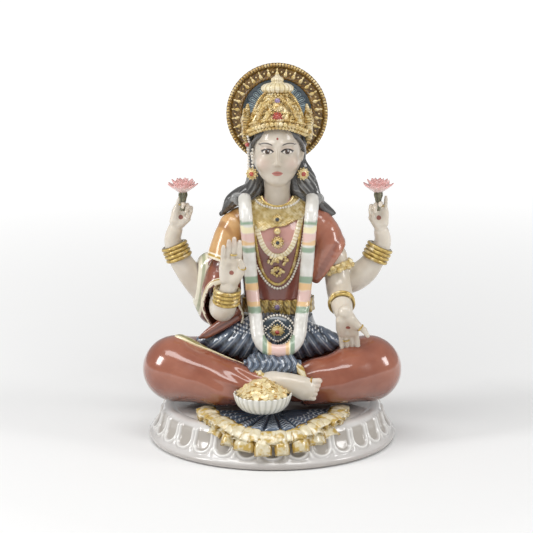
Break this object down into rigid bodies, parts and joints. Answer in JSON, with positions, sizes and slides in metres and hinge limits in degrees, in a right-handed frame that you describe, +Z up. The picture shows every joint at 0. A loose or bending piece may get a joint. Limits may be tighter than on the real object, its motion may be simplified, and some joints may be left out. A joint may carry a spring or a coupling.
{
  "type": "seated deity statuette",
  "caption": "Glazed porcelain statuette of a crowned four-armed seated figure with lotus flowers, halo and offering bowl on a round fluted plinth.",
  "frame": {"origin": "middle of the plinth's foot, on the surface it stands on", "axes": "+Z up, the figure looks along -Y, its left hand side is +X"},
  "size_m": [0.205, 0.2, 0.299],
  "materials": {
    "plinth_glaze": "pearl lustre glaze, light grey with taupe in the hollows",
    "blue_glaze": "glossy slate blue glaze",
    "gilt_trim": "ivory glaze with gold lustre edges",
    "rose_glaze": "glossy rose brown glaze",
    "skin_glaze": "warm ivory satin glaze with painted details",
    "gold_lustre": "fired gold lustre over relief",
    "coin_gold": "cream glaze with gold lustre",
    "bowl_glaze": "white glaze",
    "blouse_glaze": "glossy brown rose glaze",
    "navy_glaze": "dark teal blue glaze",
    "pearl": "white pearl glaze",
    "red_enamel": "gold seat with red enamel",
    "lilac_enamel": "lilac enamel",
    "ochre_glaze": "glossy ochre glaze",
    "lotus_pink": "matt pink biscuit petals",
    "calyx_green": "olive glaze",
    "garland_white": "white glaze with pastel bands",
    "hair_glaze": "charcoal glaze, worn light on the strands",
    "crown_gilt": "ivory glaze with gold lustre relief"
  },
  "bodies": {
    "root": {"base_plinth": "plinth_glaze", "train_cloth": "blue_glaze", "train_tabs": "gilt_trim", "right_leg": "rose_glaze", "left_leg": "rose_glaze", "right_leg_border": "gilt_trim", "seat_cloth": "blue_glaze", "lap_cloth": "blue_glaze", "lap_sash": "blue_glaze", "right_foot": "skin_glaze", "toe_ring": "gold_lustre", "offering_bowl": "bowl_glaze", "coin_heap": "coin_gold", "torso": "blouse_glaze", "belt": "gold_lustre", "belt_gem": "lilac_enamel", "apron_panel": "navy_glaze", "apron_pearls": "pearl", "apron_medallion": "red_enamel", "right_shoulder_sleeve": "ochre_glaze", "right_front_sleeve": "blouse_glaze", "right_rear_sleeve": "blouse_glaze", "left_shawl": "rose_glaze", "right_front_arm": "skin_glaze", "right_front_hand": "skin_glaze", "right_front_bangle": "gold_lustre", "right_rear_arm": "skin_glaze", "right_rear_hand": "skin_glaze", "right_rear_bangle": "gold_lustre", "left_front_arm": "skin_glaze", "left_front_hand": "skin_glaze", "left_front_bangle": "gold_lustre", "left_armlet": "gold_lustre", "left_rear_arm": "skin_glaze", "left_rear_hand": "skin_glaze", "left_rear_bangle": "gold_lustre", "right_lotus": "lotus_pink", "right_lotus_calyx": "calyx_green", "left_lotus": "lotus_pink", "left_lotus_calyx": "calyx_green", "finger_rings": "gold_lustre", "garland": "garland_white", "collar_necklace": "gold_lustre", "collar_pearls": "pearl", "throat_pendants": "gold_lustre", "long_necklace": "gold_lustre", "pearl_strand": "pearl", "head": "skin_glaze", "hair": "hair_glaze", "crown_cap": "crown_gilt", "crown_knob": "crown_gilt", "crown_side_ornaments": "crown_gilt", "crown_gems": "red_enamel", "right_earring": "red_enamel", "left_earring": "red_enamel", "ear_pearl_tassel": "pearl", "halo_disc": "navy_glaze", "halo_ring": "gold_lustre", "halo_buds": "gold_lustre", "halo_rim_beads": "crown_gilt"}
  },
  "joints": []
}
